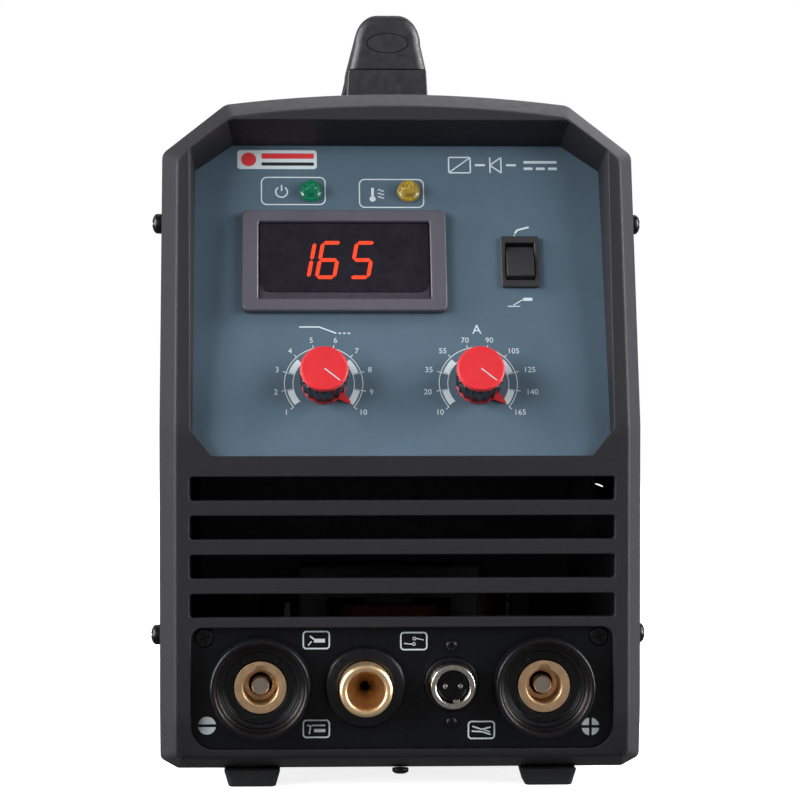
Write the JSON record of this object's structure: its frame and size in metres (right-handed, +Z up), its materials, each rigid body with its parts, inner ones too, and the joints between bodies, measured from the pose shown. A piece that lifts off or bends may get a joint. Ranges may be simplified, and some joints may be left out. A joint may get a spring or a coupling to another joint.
{
  "type": "welding machine",
  "caption": "Portable TIG welding machine: charcoal case, leaning front with blue-grey control panel, red display, knobs, vents, brass output sockets, top handle.",
  "frame": {"origin": "on the ground, under the middle of the machine's bounding box", "axes": "+X to the right of someone facing the front, the front faces -Y, +Z up"},
  "size_m": [0.1762, 0.372, 0.284],
  "materials": {
    "aluminium": "extruded",
    "black_plastic": "satin black",
    "black_screw": "black oxide",
    "brass": "machined",
    "capacitor_sleeve": "dark blue sleeve",
    "case_plastic": "fine-textured matte charcoal moulding",
    "circuit_board": "green solder mask",
    "copper_winding": "enamelled copper",
    "cover_paint": "fine-textured black powder coat",
    "ferrite": "matte grey",
    "hose": "blue gas hose",
    "knob_red": "satin red",
    "lamp_amber": "clear amber jewel",
    "lamp_green": "clear green jewel",
    "meter_plastic": "satin grey",
    "module_black": "satin black",
    "nickel": "machined, nickel plated",
    "output_plate": "satin near-black",
    "panel_paint": "satin blue-grey paint",
    "rubber": "matte black",
    "smoked_lens": "dark tinted window",
    "zinc_sheet": "dull zinc-plated sheet"
  },
  "bodies": {
    "case": {"air_divider": "black_plastic", "alarm_lamp": "lamp_amber", "arc_starter_coil": "copper_winding", "base_plate": "zinc_sheet", "bus_capacitor_left": "capacitor_sleeve", "bus_capacitor_right": "capacitor_sleeve", "control_board": "circuit_board", "control_panel": "panel_paint", "control_socket_insert": "black_plastic", "control_socket_screw_lower": "black_screw", "control_socket_screw_upper": "black_screw", "control_socket_shell": "nickel", "cord_gland": "black_plastic", "earth_bolt": "brass", "fan_frame": "black_plastic", "foot_front_left": "rubber", "foot_front_right": "rubber", "foot_rear_left": "rubber", "foot_rear_right": "rubber", "front_bezel": "case_plastic", "gas_hose": "hose", "gas_inlet": "brass", "gas_valve": "brass", "handle_lower": "case_plastic", "handle_upper": "case_plastic", "inverter_board": "circuit_board", "inverter_heatsink": "aluminium", "left_potentiometer": "aluminium", "meter_frame": "meter_plastic", "meter_lens": "smoked_lens", "meter_module": "module_black", "mode_switch_housing": "black_plastic", "negative_socket_contact": "brass", "negative_socket_cup": "black_plastic", "output_panel": "output_plate", "output_screw_left": "black_screw", "output_screw_right": "black_screw", "positive_socket_contact": "brass", "positive_socket_cup": "black_plastic", "power_lamp": "lamp_green", "power_switch_housing": "black_plastic", "rear_bezel": "case_plastic", "right_potentiometer": "aluminium", "side_screw_lower_left": "black_screw", "side_screw_lower_right": "black_screw", "side_screw_upper_left": "black_screw", "side_screw_upper_right": "black_screw", "top_cover": "cover_paint", "torch_connector_fitting": "brass", "torch_connector_insulator": "black_plastic", "transformer_core": "ferrite", "transformer_winding": "copper_winding", "underside_screw": "black_screw"},
    "left_knob": {"left_knob_cap": "knob_red", "left_knob_skirt": "black_plastic"},
    "right_knob": {"right_knob_cap": "knob_red", "right_knob_skirt": "black_plastic"},
    "mode_rocker": {"mode_switch_rocker": "black_plastic"},
    "power_rocker": {"power_switch_rocker": "black_plastic"},
    "fan": {"fan_rotor": "black_plastic"}
  },
  "joints": [
    {"name": "left_knob_turn", "type": "hinge", "parent": "case", "child": "left_knob", "pos_m": [-0.02705, -0.16248, 0.14136], "axis": [0, -0.9205, 0.3907], "range_deg": [0, 260]},
    {"name": "right_knob_turn", "type": "hinge", "parent": "case", "child": "right_knob", "pos_m": [0.02705, -0.16248, 0.14136], "axis": [0, -0.9205, 0.3907], "range_deg": [0, 260]},
    {"name": "mode_rocker_tip", "type": "hinge", "parent": "case", "child": "mode_rocker", "pos_m": [0.0431, -0.1455, 0.18445], "axis": [1, 0, 0], "range_deg": [0, 22]},
    {"name": "power_rocker_tip", "type": "hinge", "parent": "case", "child": "power_rocker", "pos_m": [-0.038, 0.1696, 0.18], "axis": [-1, 0, 0], "range_deg": [0, 22]},
    {"name": "fan_spin", "type": "hinge", "parent": "case", "child": "fan", "pos_m": [0, 0.153, 0.09], "axis": [0, 1, 0], "continuous": true}
  ]
}
